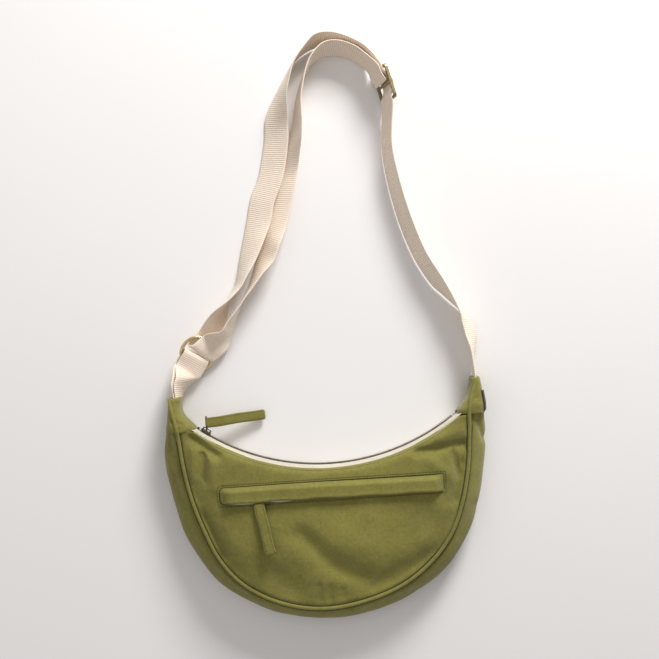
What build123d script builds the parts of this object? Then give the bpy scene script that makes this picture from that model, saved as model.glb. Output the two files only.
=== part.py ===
from build123d import *
import os
from math import cos, radians, sin, sqrt

# Crescent shoulder bag lying on its back: +X to the bag's right, +Y towards the strap, +Z up off
# the surface. All sizes are in millimetres.

# --- driving dimensions -------------------------------------------------------------------------
CLOTH = 1.4          # canvas panel thickness
CAP_Y = -94.0        # line where the caps meet the panels and the gusset
TIP_Y = -64.0        # the caps' upper ends

BACK_T = 1.6         # flat back, then the levels of the gusset's seams and of its widest line
SEAM_BACK_Z = 3.0
WIDEST_Z = 20.0
SEAM_FRONT_Z = 38.0
PANEL_Z = 39.6       # front panel's lower edge, its height along the pocket and below it
POCKET_Z = 47.0
DOME_Z = 49.8

ZIP_X = 4.0          # main zip: an arc about an upright axis
ZIP_Y = 82.0
ZIP_R = 226.0
ZIP_Z = 18.5
ZIP_HALF_ANGLE = 37.5
TAPE_BACK = 4.2      # how far the tape's sewn edge lies behind the teeth
TAPE_T = 0.8
SHOULDER = 8.6       # how far the front panel slopes back from the tape to the pocket
TEETH_GAP = 1.4      # between the two rows, where the slider's wedge runs
TEETH_W = 2.0
TEETH_T = 2.4
TEETH_END = 36.6     # the rows and the stops end at these angles
STOP_START = 36.65
STOP_END = 37.3
STOP_PROUD = 0.3
WEDGE_PLAY = 0.25    # each side of a slider's wedge
SLIDER_PLATE = 1.1
SLIDER_HALF = 1.5    # from the slider's middle to its plates
SLIDER_EYE = 2.0
SLIDER_ANGLE = -34.8  # closed slider, measured from the arc's lowest point
LINK_LENGTH = 14.0
LINK_HIGH = 8.4
LINK_WIRE = 0.6
LINK_CORNER = 1.3
LINK_IN_EYE = 1.0    # wire's height over the slider's upper plate
MAIN_TAB_LENGTH = 64.0
MAIN_TAB_WIDTH = 10.6
MAIN_TAB_T = 2.4
MAIN_TAB_SLOPE = 17.5

WELT_X = (-111.0, 119.0)
WELT_Y = (-176.0, -159.0)
WELT_UNDER = 51.0    # underside of the welt, over the pocket's zip
WELT_T = 1.2
SLOT_WIDE = 11.0     # pocket's slot in the front panel, and how much longer it is than its zip
SLOT_MORE = 8.0
POCKET_ZIP_Y = -168.0
POCKET_ZIP_X = (-100.0, 111.0)
POCKET_SLIDER_X = -61.0
POCKET_TAPE_Y = 5.5  # from the pocket zip's line to the middle of a tape, and of a row of teeth
POCKET_TAPE_W = 7.0
POCKET_ROW_Y = 1.35
POCKET_ROW_W = 1.3
POCKET_TEETH_T = 2.0
POCKET_STOP_T = 2.2
POUCH_Y = -200.0     # pocket's inner bag
POUCH_LONG = 78.0
POUCH_DEEP = 3.2
POUCH_WALL = 1.0
POUCH_SHORTER = 40.0
POCKET_TURN = 6.0    # how far the pocket's pull hangs out of square
POCKET_PLATE = 1.0
POCKET_HALF = 1.3
POCKET_EYE = 2.4
BAR_DROP = 13.2      # pocket link's length along the pull, its width and its place in the eye
BAR_ABOVE = 2.6
POCKET_LINK_WIDE = 12.2
POCKET_LINK_WIRE = 0.5
POCKET_LINK_SIDE = 6.1
POCKET_IN_EYE = 1.3
POCKET_TAB_WIDTH = 10.4
POCKET_TAB_T = 2.2
POCKET_TAB_LENGTH = 50.0
POCKET_TAB_SLOPE = 4.5

WEB_W = 30.0         # webbing
WEB_T = 1.8
RING_R = 17.6        # ring's middle line, wire and place
RING_WIRE = 1.9
RING_AT = Vector(-128.0, -20.0, 11.4)
RING_TILT = 20.0
PLY_RISE = 3.6       # webbing's middle above and below the ring's plane
FRAME_AT = Vector(87.0, 248.5, 18.2)   # strap adjuster
FRAME_SIDE = 37.0
FRAME_BAR = 3.0
FRAME_T = 2.6
FRAME_CORNER = 4.0
CENTRE_BAR_R = 1.5
FRAME_LEAN = 19.0
LABEL_AT = (168.5, -87.0, 23.0)
LABEL_SIZE = (1.0, 22.0, 13.0)
PIPING_PROUD = 1.2

UP = Vector(0, 0, 1)
ZIP_AXIS = Axis((ZIP_X, ZIP_Y, 0), (0, 0, 1))

os.makedirs("parts", exist_ok=True)


def save(part, name):
    part.label = name
    export_step(part, f"parts/{name}.step")


# --- body ---------------------------------------------------------------------------------------
# half width and its height, corner and bottom of the crescent at each level
LEVELS = {
    "back": (157, -128, 104, -258, -294),
    "wide": (169, -130, 112, -268, -306),
    "front": (151, -130, 98, -252, -287),
    "pocket": (134, -138, 84, -238, -272),
    "dome": (96, -218, 58, -238, -250),
}


def crescent(z, level, inset=0.0, top_y=CAP_Y):
    """Side, bottom and side of the bag at one level, closed by a straight top line."""
    side_x, side_y, corner_x, corner_y, bottom_y = LEVELS[level]
    end_x = side_x - inset - 3
    corner = inset * 0.7
    with BuildSketch(Plane.XY.offset(z), mode=Mode.PRIVATE) as face:
        with BuildLine():
            Spline(
                (-end_x, top_y),
                (inset - side_x, side_y),
                (corner - corner_x, corner_y + corner),
                (0, bottom_y + inset),
                (corner_x - corner, corner_y + corner),
                (side_x - inset, side_y),
                (end_x, top_y),
            )
            Line((end_x, top_y), (-end_x, top_y))
        make_face()
    return face.sketch


def stack(*faces):
    with BuildPart(mode=Mode.PRIVATE) as block:
        for face in faces:
            add(face)
        loft(ruled=True)
    return block.part


def zip_ring(profile, start=-ZIP_HALF_ANGLE, end=ZIP_HALF_ANGLE, mode=Mode.ADD):
    """A profile of (radius, height) points turned about the zip's axis, start to end in degrees."""
    radial = Vector(sin(radians(start)), -cos(radians(start)), 0)
    plane = Plane(origin=(ZIP_X, ZIP_Y, 0), x_dir=radial, z_dir=radial.cross(UP))
    with BuildSketch(plane, mode=Mode.PRIVATE) as section:
        with BuildLine():
            Polyline(*profile, close=True)
        make_face()
    revolve(section.sketch, axis=ZIP_AXIS, revolution_arc=end - start, mode=mode)


with BuildPart() as gusset:
    for inset, mode in ((0.0, Mode.ADD), (CLOTH, Mode.SUBTRACT)):
        add(
            stack(
                crescent(SEAM_BACK_Z, "back", inset),
                crescent(WIDEST_Z, "wide", inset),
                crescent(SEAM_FRONT_Z, "front", inset),
            ),
            mode=mode,
        )
save(gusset.part, "gusset")

TAPE_EDGE = ZIP_R + TAPE_BACK

with BuildPart() as back_panel:
    add(crescent(0, "back", 1.5))
    extrude(amount=BACK_T)
    with BuildSketch(Plane.XY):
        with Locations((ZIP_X, ZIP_Y)):
            Circle(TAPE_EDGE - 1)
    extrude(amount=BACK_T, mode=Mode.SUBTRACT)
save(back_panel.part, "back_panel")


def front_block(inset, drop):
    """Front panel's outside, or with an inset and a drop its inside."""
    low = stack(
        crescent(PANEL_Z, "front", inset),
        crescent(POCKET_Z - drop, "pocket", inset, top_y=-118 - inset),
    )
    high = stack(
        crescent(POCKET_Z - drop, "dome", inset - 12, top_y=-186 - inset),
        crescent(DOME_Z - drop, "dome", inset, top_y=-214 - inset),
    )
    with BuildPart(mode=Mode.PRIVATE) as block:
        add(low)
        add(high)
        cone = [
            (100, PANEL_Z),
            (TAPE_EDGE + inset, PANEL_Z),
            (TAPE_EDGE + SHOULDER + inset, POCKET_Z - drop),
            (TAPE_EDGE + SHOULDER + inset, POCKET_Z + 20),
            (100, POCKET_Z + 20),
        ]
        zip_ring(cone, -60, 60, Mode.SUBTRACT)
    return block.part


with BuildPart() as front_panel:
    add(front_block(0.0, 0.0))
    add(front_block(CLOTH, CLOTH), mode=Mode.SUBTRACT)
    with BuildSketch(Plane.XY.offset(POCKET_Z - 3)):
        with Locations((sum(POCKET_ZIP_X) / 2, POCKET_ZIP_Y)):
            Rectangle(POCKET_ZIP_X[1] - POCKET_ZIP_X[0] + SLOT_MORE, SLOT_WIDE)
    extrude(amount=4, mode=Mode.SUBTRACT)
save(front_panel.part, "front_panel")

for name, low, high, level in (
    ("back_piping", BACK_T, SEAM_BACK_Z, "back"),
    ("front_piping", SEAM_FRONT_Z, PANEL_Z, "front"),
):
    with BuildPart() as piping:
        add(crescent(low, level, -PIPING_PROUD))
        extrude(amount=high - low)
        add(crescent(low, level, CLOTH))
        extrude(amount=high - low, mode=Mode.SUBTRACT)
    save(piping.part, name)


def cap(side, tip_x, tip_w, name):
    """Fabric sleeve over a corner: wide on the bag, narrow where it holds the webbing."""
    with BuildPart() as sleeve:
        for wall, mode in ((0.0, Mode.ADD), (CLOTH, Mode.SUBTRACT)):
            sections = []
            for y, x, wide, high, top in (
                (CAP_Y, side * 150.0, 34.0, 37.4, 38.0),
                (TIP_Y, side * tip_x, tip_w, 34.0, 34.2),
            ):
                plane = Plane(origin=(x, y, top - high / 2), x_dir=(1, 0, 0), z_dir=(0, 1, 0))
                with BuildSketch(plane, mode=Mode.PRIVATE) as section:
                    RectangleRounded(wide - 2 * wall, high - 2 * wall, 2.5 - wall)
                sections.append(section.sketch)
            add(stack(*sections), mode=mode)
    save(sleeve.part, name)


cap(-1, 152.5, 17.0, "left_corner_cap")
cap(1, 160.5, 10.0, "right_corner_cap")

with BuildPart() as side_label:
    with Locations(LABEL_AT):
        Box(*LABEL_SIZE)
save(side_label.part, "side_label")

# --- main zip -----------------------------------------------------------------------------------
ROW = TEETH_GAP / 2 + TEETH_W
for side, edge_z, tape_name, teeth_name in (
    (1, PANEL_Z, "main_zip_tape_front", "main_zip_teeth_front"),
    (-1, BACK_T, "main_zip_tape_back", "main_zip_teeth_back"),
):
    row_z = ZIP_Z + side * ROW
    near_z = ZIP_Z + side * TEETH_GAP / 2
    with BuildPart() as tape:
        zip_ring(
            [
                (ZIP_R - TAPE_T / 2, row_z),
                (ZIP_R + TAPE_T / 2, row_z),
                (TAPE_EDGE + TAPE_T / 2, edge_z),
                (TAPE_EDGE - TAPE_T / 2, edge_z),
            ]
        )
    save(tape.part, tape_name)
    with BuildPart() as teeth:
        inner, outer = ZIP_R - TEETH_T / 2, ZIP_R + TEETH_T / 2
        section = [(inner, near_z), (outer, near_z), (outer, row_z), (inner, row_z)]
        zip_ring(section, -TEETH_END, TEETH_END)
    save(teeth.part, teeth_name)

with BuildPart() as main_zip_stops:
    inner = ZIP_R - TEETH_T / 2 - STOP_PROUD
    outer = ZIP_R + TEETH_T / 2 + STOP_PROUD
    for side in (1, -1):
        near_z = ZIP_Z + side * TEETH_GAP / 2
        row_z = ZIP_Z + side * ROW
        section = [(inner, near_z), (outer, near_z), (outer, row_z), (inner, row_z)]
        zip_ring(section, -STOP_END, -STOP_START)
    low, high = ZIP_Z - ROW, ZIP_Z + ROW
    zip_ring([(inner, low), (outer, low), (outer, high), (inner, high)], STOP_START, STOP_END)
save(main_zip_stops.part, "main_zip_stops")


def slider(plane, half_l, half_w, tooth, plate, eye, name):
    """Two plates joined by a wedge at the nose, with an arched bridge over the upper plate."""
    with BuildPart(plane) as body:
        for side in (1, -1):
            with Locations((0, 0, side * (tooth + plate / 2))):
                Box(2 * half_l, 2 * half_w, plate)
        with Locations((-half_l + 2.2, 0, 0)):
            Box(2.4, TEETH_GAP - 2 * WEDGE_PLAY, 2 * tooth + 0.2)
        edges_up = body.edges().filter_by(Axis(plane.origin, plane.z_dir))
        fillet(edges_up.sort_by_distance(plane.origin)[-8:], 1.0)
        with Locations((0, 0, tooth + plate + (eye + 0.6) / 2)):
            Box(2 * half_l - 1.6, 1.9, eye + 0.6)
        with Locations((0, 0, tooth + plate + eye / 2)):
            Box(2 * half_l - 4.2, 3, eye, mode=Mode.SUBTRACT)
    save(body.part, name)


slider_turn = radians(SLIDER_ANGLE)
slider_at = Vector(ZIP_X + ZIP_R * sin(slider_turn), ZIP_Y - ZIP_R * cos(slider_turn), ZIP_Z)
out = Vector(-sin(slider_turn), cos(slider_turn), 0)
slider_plane = Plane(origin=slider_at, x_dir=(cos(slider_turn), sin(slider_turn), 0), z_dir=out)
slider(slider_plane, 5.5, 5.2, SLIDER_HALF, SLIDER_PLATE, SLIDER_EYE, "main_slider")

# the link is a wire loop standing in the bridge, and the tab hangs from its upper bar
eye_at = slider_at + out * (SLIDER_HALF + SLIDER_PLATE + LINK_IN_EYE)
link_plane = Plane(origin=eye_at + Vector(0, LINK_LENGTH / 2, 0), x_dir=(0, 1, 0), z_dir=(1, 0, 0))


def rounded_path(long, wide, r):
    """A rectangle's outline with rounded corners, drawn into the current line."""
    a, b = long / 2, wide / 2
    Line((0, b), (a - r, b))
    RadiusArc((a - r, b), (a, b - r), r)
    Line((a, b - r), (a, r - b))
    RadiusArc((a, r - b), (a - r, -b), r)
    Line((a - r, -b), (r - a, -b))
    RadiusArc((r - a, -b), (-a, r - b), r)
    Line((-a, r - b), (-a, b - r))
    RadiusArc((-a, b - r), (r - a, b), r)
    Line((r - a, b), (0, b))


def wire_loop(plane, long, wide, wire, name):
    with BuildPart() as link:
        with BuildLine(plane) as path:
            rounded_path(long, wide, LINK_CORNER)
        with BuildSketch(Plane(origin=path.line @ 0, z_dir=path.line % 0)):
            Circle(wire)
        sweep(path=path.line)
    save(link.part, name)


wire_loop(link_plane, LINK_LENGTH, LINK_HIGH, LINK_WIRE, "main_pull_link")


def pull_tab(plane, length, width, thick, hub, hole, name):
    """Folded fabric tab along the plane's X, looped at its origin round a bar along its Z."""
    with BuildPart() as tab:
        with BuildSketch(plane.offset(-width / 2)):
            Circle(hub)
            with Locations((length / 2, 0)):
                Rectangle(length, thick)
            Circle(hole, mode=Mode.SUBTRACT)
        extrude(amount=width)
    save(tab.part, name)


main_slope = radians(MAIN_TAB_SLOPE)
bar_at = eye_at + Vector(0, LINK_LENGTH / 2, LINK_HIGH / 2)
tab_plane = Plane(origin=bar_at, x_dir=(cos(main_slope), 0, -sin(main_slope)), z_dir=(0, 1, 0))
pull_tab(tab_plane, MAIN_TAB_LENGTH, MAIN_TAB_WIDTH, MAIN_TAB_T, 1.7, 0.9, "main_pull_tab")

# --- pocket -------------------------------------------------------------------------------------
welt_mid = ((WELT_X[0] + WELT_X[1]) / 2, (WELT_Y[0] + WELT_Y[1]) / 2)
welt_size = (WELT_X[1] - WELT_X[0], WELT_Y[1] - WELT_Y[0])
with BuildPart() as pocket_welt:
    with BuildSketch(Plane.XY.offset(POCKET_Z)):
        with Locations(welt_mid):
            Rectangle(*welt_size)
    extrude(amount=WELT_UNDER + WELT_T - POCKET_Z)
    with BuildSketch(Plane.XY.offset(POCKET_Z)):
        with Locations((welt_mid[0], welt_mid[1] - CLOTH)):
            Rectangle(welt_size[0] - 2 * CLOTH, welt_size[1])
    extrude(amount=WELT_UNDER - POCKET_Z, mode=Mode.SUBTRACT)
    folded_edge = pocket_welt.edges().filter_by(Axis.X).sort_by(Axis.Z)[-2:].sort_by(Axis.Y)[-1]
    fillet(folded_edge, 1.0)
save(pocket_welt.part, "pocket_welt")

PANEL_UNDER = POCKET_Z - CLOTH
tooth_z = PANEL_UNDER - TAPE_T / 2
zip_mid_x = sum(POCKET_ZIP_X) / 2
zip_long = POCKET_ZIP_X[1] - POCKET_ZIP_X[0]
for side, end in ((1, "upper"), (-1, "lower")):
    with BuildPart() as tape:
        with Locations((zip_mid_x, POCKET_ZIP_Y + side * POCKET_TAPE_Y, tooth_z)):
            Box(zip_long + SLOT_MORE, POCKET_TAPE_W, TAPE_T)
    save(tape.part, f"pocket_zip_tape_{end}")
    with BuildPart() as teeth:
        with Locations((zip_mid_x, POCKET_ZIP_Y + side * POCKET_ROW_Y, tooth_z)):
            Box(zip_long - 3, POCKET_ROW_W, POCKET_TEETH_T)
    save(teeth.part, f"pocket_zip_teeth_{end}")

with BuildPart() as pocket_zip_stops:
    for side in (1, -1):
        with Locations((POCKET_ZIP_X[0] + 0.6, POCKET_ZIP_Y + side * POCKET_ROW_Y, tooth_z)):
            Box(1.2, POCKET_ROW_W, POCKET_STOP_T)
    with Locations((POCKET_ZIP_X[1] - 0.6, POCKET_ZIP_Y, tooth_z)):
        Box(1.2, 2 * (POCKET_ROW_Y + POCKET_ROW_W / 2), POCKET_STOP_T)
save(pocket_zip_stops.part, "pocket_zip_stops")

POUCH_TOP = PANEL_UNDER - TAPE_T - 2.2
with BuildPart() as pocket_bag:
    pouch_wide = zip_long - POUCH_SHORTER
    with Locations((zip_mid_x, POUCH_Y, POUCH_TOP - POUCH_DEEP / 2)):
        Box(pouch_wide, POUCH_LONG, POUCH_DEEP)
        Box(pouch_wide - 2 * POUCH_WALL, POUCH_LONG - 2 * POUCH_WALL, 2.0, mode=Mode.SUBTRACT)
    with Locations((zip_mid_x, POCKET_ZIP_Y, POUCH_TOP)):
        Box(zip_long - 46, 9.0, 3.0, mode=Mode.SUBTRACT)
save(pocket_bag.part, "pocket_bag")

pocket_plane = Plane(origin=(POCKET_SLIDER_X, POCKET_ZIP_Y, tooth_z), z_dir=(0, 0, 1))
slider(pocket_plane, 4.5, 4.0, POCKET_HALF, POCKET_PLATE, POCKET_EYE, "pocket_slider")

turn = radians(POCKET_TURN)
pull_z = tooth_z + POCKET_HALF + POCKET_PLATE + POCKET_IN_EYE
across = Vector(cos(turn), sin(turn), 0)
down = Vector(sin(turn), -cos(turn), 0)
link_mid = Vector(POCKET_SLIDER_X, POCKET_ZIP_Y, pull_z) + down * (BAR_DROP / 2 - BAR_ABOVE)
link_mid -= across * POCKET_LINK_SIDE
pocket_link_plane = Plane(origin=link_mid, x_dir=down, z_dir=(0, 0, 1))
wire_loop(pocket_link_plane, BAR_DROP, POCKET_LINK_WIDE, POCKET_LINK_WIRE, "pocket_pull_link")

pocket_slope = radians(POCKET_TAB_SLOPE)
pocket_bar = link_mid + down * (BAR_DROP / 2)
along = down * cos(pocket_slope) + UP * sin(pocket_slope)
pocket_tab_plane = Plane(origin=pocket_bar, x_dir=along, z_dir=across)
pull_tab(
    pocket_tab_plane, POCKET_TAB_LENGTH, POCKET_TAB_WIDTH, POCKET_TAB_T, 1.5, 0.75, "pocket_pull_tab"
)

# --- ring, webbing and adjuster -----------------------------------------------------------------
tilt = radians(RING_TILT)
ring_u = Vector(0.67, 0.742, 0).normalized()
ring_v = Vector(-0.742 * cos(tilt), 0.67 * cos(tilt), sin(tilt)).normalized()
ring_n = ring_u.cross(ring_v)

with BuildPart(Plane(origin=RING_AT, x_dir=ring_u, z_dir=ring_n)) as o_ring:
    Torus(RING_R, RING_WIRE)
save(o_ring.part, "o_ring")


def in_ring(u, v, w, spread=0.0):
    """A point in the ring's own axes, with u turned by spread degrees in its plane."""
    a = radians(spread)
    u_dir = ring_u * cos(a) + ring_v * sin(a)
    v_dir = ring_v * cos(a) - ring_u * sin(a)
    return RING_AT + u_dir * u + v_dir * v + ring_n * w


def floor_edges(bx, by, tx, ty, lift=0.9):
    """Webbing on edge on the floor: its lower edge at (bx, by), its upper edge above (tx, ty)."""
    plan = sqrt((tx - bx) ** 2 + (ty - by) ** 2)
    return Vector(bx, by, lift), Vector(tx, ty, lift + sqrt(WEB_W**2 - plan**2))


def webbing(edges, name, span=14):
    """A flat band through pairs of lower and upper edge points, lofted a span at a time."""
    mids = [(low + high) * 0.5 for low, high in edges]
    sections = []
    for i, (low, high) in enumerate(edges):
        ahead = mids[min(i + 1, len(mids) - 1)] - mids[max(i - 1, 0)]
        width = (high - low).normalized()
        normal = width.cross(ahead).normalized()
        plane = Plane(origin=mids[i], x_dir=width, z_dir=width.cross(normal))
        with BuildSketch(plane, mode=Mode.PRIVATE) as section:
            Rectangle(WEB_W, WEB_T)
        sections.append(section.sketch)
    with BuildPart() as band:
        for i in range(0, len(sections) - 1, span):
            add(stack(*sections[i : i + span + 1]))
    save(band.part, name)


frame_n = Vector(0.969, 0.246, 0)
frame_s = Vector(-0.246, 0.969, 0)
lean = radians(FRAME_LEAN)
frame_w = frame_n * sin(lean) + UP * cos(lean)
frame_o = frame_s.cross(frame_w)


def at_frame(s, o):
    mid = FRAME_AT + frame_s * s + frame_o * o
    return mid - frame_w * (WEB_W / 2), mid + frame_w * (WEB_W / 2)


SINGLE = [
    (160.5, -78, 160.5, -78, 1.8), (161, -60, 160.5, -60, 1.8), (163, -48, 159.5, -47.5),
    (166.5, -34, 157.5, -32), (168, -19, 153.7, -19), (164, -5, 150.5, -4), (155, 6, 149, 5),
    (143.5, 17, 146, 15), (134.5, 26, 140, 29), (123, 38, 133, 43.5), (108.5, 63.3, 119, 69),
    (97.1, 93.6, 108.5, 98), (89.2, 123.5, 100.5, 126.5), (83.4, 155.4, 94, 157),
    (80.9, 181.2, 90.6, 182), (82, 205, 91.8, 206),
]
INNER = [
    (62, 275.5, 68, 281.5), (53, 282, 57.5, 290), (42, 286, 41, 296.5), (28, 286.3, 25.5, 295),
    (14.5, 280.5, 12.7, 283), (4, 268, 6.5, 270.5), (-3, 254, 2.2, 255), (-8, 238, -1, 239),
    (-13, 216, -1.5, 216), (-20, 201, -3, 201), (-30, 187, -5.5, 186.5), (-38.5, 166.5, -10, 166),
    (-43.5, 147, -15.2, 144), (-47.5, 130, -20, 124.5), (-51, 114.3, -26.2, 105),
    (-53.5, 98.5, -33.2, 89), (-58.2, 81.3, -40, 72.5), (-64, 64, -52, 59.8), (-69.5, 48.5, -64.5, 44.5),
    (-75.5, 37, -73, 34.6), (-80.3, 27.2, -79.6, 26.2), (-84.9, 15.9, -87.3, 17.3),
    (-88.1, 6.5, -94, 10), (-92.2, -5, -101.5, 1),
]
OUTER = [
    (-98, 6, -110.5, 20), (-94, 21.5, -99, 27.5), (-92, 36, -89.8, 33.6), (-84, 49.7, -77.2, 45.2),
    (-80.8, 63, -68.8, 58.6), (-77, 81, -59.5, 73.5), (-72.3, 99.5, -50.2, 92.5),
    (-67.5, 119, -42, 112.3), (-62, 142, -36.5, 133), (-53.6, 160.5, -28, 152.5),
    (-48.6, 177.4, -22, 172.5), (-43.3, 202.8, -17, 200.6), (-41, 224, -16.5, 218), (-29, 248, -15.8, 243),
    (-18.5, 265, -11.4, 262), (-8.5, 280, -5.5, 278), (4, 290.5, 5, 292), (20, 296.5, 18, 304.5),
    (39, 295, 37, 305.1), (56, 288.5, 60, 295), (67, 279.5, 73, 284.5),
]


def round_ring(sign, spread=0.0, depth=5.5, reach=20.0):
    """Edge pairs of a ply that comes in over the ring, turns in its hole and leaves below it."""
    turns = [(reach, 1.0), (depth + 3, 1.0), (depth, 1.0)]
    turns += [(depth - PLY_RISE * 0.707, 0.707), (depth - PLY_RISE, 0.0)]
    turns += [(depth - PLY_RISE * 0.707, -0.707), (depth, -1.0), (depth + 3, -1.0), (reach, -1.0)]
    pairs = []
    for u, w in turns:
        low = in_ring(sign * u, -WEB_W / 2, PLY_RISE * w, spread)
        high = in_ring(sign * u, WEB_W / 2, PLY_RISE * w, spread)
        pairs.append((low, high))
    return pairs


strap = [floor_edges(*row) for row in SINGLE]
strap += [at_frame(-22, -3.6), at_frame(-15, -3.2), at_frame(-5, 3.4), at_frame(4, 3.4)]
strap += [at_frame(13, -3.0), at_frame(21, -3.6)]
strap += [floor_edges(*row) for row in OUTER[::-1]]
strap += round_ring(1)[::-1]
strap += [floor_edges(*row) for row in INNER[::-1]]
strap += [at_frame(20, -6.8), at_frame(12, -6.0), at_frame(1, -3.0)]
webbing(strap, "shoulder_strap")

# two plies of the ring's tab, standing in the left cap and lying flat at the ring
TAB = [
    (-151, -78, -151.5, -78, 2.2, 1.2), (-148.5, -62, -153, -62, 2.3, 1.2),
    (-142, -53, -154, -51, 4.6, 1.8), (-133.5, -47, -152, -41, 5.6, 2.7),
]


def tab_ply(side):
    """The tab's stations from the cap to the ring, moved to one side of its middle."""
    pairs = []
    for bx, by, tx, ty, lift, half_gap in TAB:
        low, high = floor_edges(bx, by, tx, ty, lift)
        normal = Vector(0.467, 0.88, 0).cross(high - low).normalized()
        pairs.append((low + normal * side * half_gap, high + normal * side * half_gap))
    return pairs


tab_loop = round_ring(-1, 8.0, 6.9, 21.0)
webbing(tab_ply(1) + tab_loop + tab_ply(-1)[::-1], "ring_tab")

frame_plane = Plane(origin=FRAME_AT, x_dir=frame_s, z_dir=frame_o)
with BuildPart() as strap_adjuster:
    with BuildSketch(frame_plane.offset(-FRAME_T / 2)):
        RectangleRounded(FRAME_SIDE, FRAME_SIDE, FRAME_CORNER)
        RectangleRounded(FRAME_SIDE - 2 * FRAME_BAR, FRAME_SIDE - 2 * FRAME_BAR, 1.5, mode=Mode.SUBTRACT)
    extrude(amount=FRAME_T)
    bar_plane = Plane(origin=FRAME_AT, x_dir=frame_s, z_dir=frame_w)
    with BuildSketch(bar_plane.offset(FRAME_BAR - FRAME_SIDE / 2)):
        Circle(CENTRE_BAR_R)
    extrude(amount=FRAME_SIDE - 2 * FRAME_BAR)
save(strap_adjuster.part, "strap_adjuster")
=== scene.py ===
"""Crescent canvas shoulder bag: soft shell, seams, zips, webbing strap, ring and adjuster."""
from bisect import bisect_right
from math import atan, cos, exp, pi, radians, sin, sqrt

import bmesh
import bpy
from mathutils import Matrix, Vector, noise
from mathutils.bvhtree import BVHTree


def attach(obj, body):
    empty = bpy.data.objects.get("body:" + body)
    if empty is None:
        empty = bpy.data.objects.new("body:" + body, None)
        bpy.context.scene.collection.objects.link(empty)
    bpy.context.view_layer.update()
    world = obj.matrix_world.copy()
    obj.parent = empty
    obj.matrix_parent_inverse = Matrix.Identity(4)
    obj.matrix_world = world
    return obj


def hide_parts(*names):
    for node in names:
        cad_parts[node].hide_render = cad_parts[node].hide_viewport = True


bl_info = {
    "name": "Crescent canvas bag",
    "version": (1, 0, 0),
    "blender": (4, 5, 0),
    "location": "3D View > Sidebar > Bag",
    "description": "Builds a canvas hobo bag with its zips, webbing strap, ring and adjuster",
    "category": "Object",
}

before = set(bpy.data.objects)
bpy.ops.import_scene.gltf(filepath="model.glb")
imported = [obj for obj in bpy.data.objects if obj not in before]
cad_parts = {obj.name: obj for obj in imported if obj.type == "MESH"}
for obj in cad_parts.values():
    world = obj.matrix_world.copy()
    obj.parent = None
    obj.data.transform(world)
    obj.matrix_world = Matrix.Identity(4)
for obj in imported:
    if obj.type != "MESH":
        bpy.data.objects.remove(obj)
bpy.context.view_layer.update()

MM = 0.001
UP = Vector((0, 0, 1))
DOWN = Vector((0, 0, -1))
PROBE_HEIGHT = 0.3  # metres, where a line dropped on to a piece starts
MERGE_DISTANCE = 1e-6  # metres
CANVAS_WALL = 1.3
ZIP_LEFT = radians(-36.8)
ZIP_RIGHT = radians(36.2)
# Plan centre of the top zip's arc and the radii laid out from it, in millimetres.
ZIP_CENTRE_X, ZIP_CENTRE_Y = 4, 82
TEETH_RADIUS = 226.0
TAPE_RADIUS = 226.3
FRONT_EDGE_RADIUS = 227.5
BACK_EDGE_RADIUS = 230.4
ZIP_STITCH_RADIUS = 230.4
# Heights of the front seam, the gusset's widest line and the back seam.
FRONT_SEAM_HEIGHT = 39.2
WIDEST_HEIGHT = 20
BACK_SEAM_HEIGHT = 2.6
# Height of the dark tubes that paint the shade in the groove beside the front seam.
GROOVE_SHADE_HEIGHT = 37.9
# Front panel: its flat height, how far its middle stands above that, and the dip at its seam.
PANEL_HEIGHT = 39.4
CROWN = 7.5
CROWN_RISE = 4.2
SEAM_DIP = 3.4
GUSSET_GIRTH = 52
# Pocket welt: its ends along the bag and the rounding of its left corners.
WELT_LEFT, WELT_RIGHT = -111, 119
WELT_CORNER = 4.5
WELT_TOP = 52.4
# Camera place and turn, and half the width it shows at the floor, in metres.
CAMERA_X, CAMERA_Y = 0.0125, -0.0039
CAMERA_TURN = radians(-3.8)
HALF_VIEW = 0.35125
FLOOR_SIZE = 3.0
FLOOR_DROP = 0.0004

# Seam between the front panel and the gusset, left cap round the bottom to the right cap.
FRONT_SEAM = [
    (-152.3, -92), (-150.5, -107), (-147, -138), (-141, -169), (-131, -200), (-116, -234), (-92, -262),
    (-56, -282), (-16, -290.5), (25, -287), (67, -273.5), (99, -252), (122.5, -225), (136.5, -194),
    (145, -160), (149, -127), (152.5, -94),
]
# The gusset's widest line and its seam with the back panel.
WIDEST = [
    (-165.2, -92), (-168.6, -130), (-158, -190), (-141, -232), (-112, -268), (-60, -296), (0, -305.6),
    (58, -296), (110, -268), (141, -230), (158, -188), (168.4, -130), (168.6, -94),
]
BACK_SEAM = [
    (-154, -92), (-157, -128), (-147, -185), (-104, -258), (-55, -284), (0, -292), (55, -284),
    (104, -258), (147, -185), (157, -128), (156, -94),
]
# Folds of the front panel: start, end, half width and depth (a ridge where negative).
FOLDS = [
    (-137, -107, -112, -126, 5.0, 5.2), (-126, -124, -128, -150, 4.4, 5.0),
    (-129, -150, -138, -170, 3.6, 3.8),
    (-137, -120, -138, -148, 4.0, -2.6), (-116, -130, -117, -158, 7.0, -1.8),
    (-130, -190, -114, -231, 6.0, 4.6), (-106, -200, -94, -234, 9.0, -1.8), (-66, -246, -40, -268, 13.0, 2.8),
    (94, -136, 146, -131, 4.6, 5.2), (131, -138, 135, -162, 4.6, 4.6), (110, -148, 124, -160, 6.0, -2.0),
    (118, -122, 141, -116, 5.0, -2.0), (-30, -214, 2, -246, 10.0, 5.2), (2, -246, 32, -262, 10.0, 5.4),
    (-8, -206, 40, -236, 13.0, -1.4), (-15, -266, -16, -284, 2.6, 2.4), (-4, -268, -5, -285, 2.6, 2.0),
    (9, -272, 8, -283, 3.0, 2.4), (40, -270, 108, -242, 9.0, 3.6), (60, -218, 100, -206, 15.0, 2.0),
    (139, -150, 131, -188, 4.6, 2.4), (120, -196, 96, -226, 9.0, -1.4),
]
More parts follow.
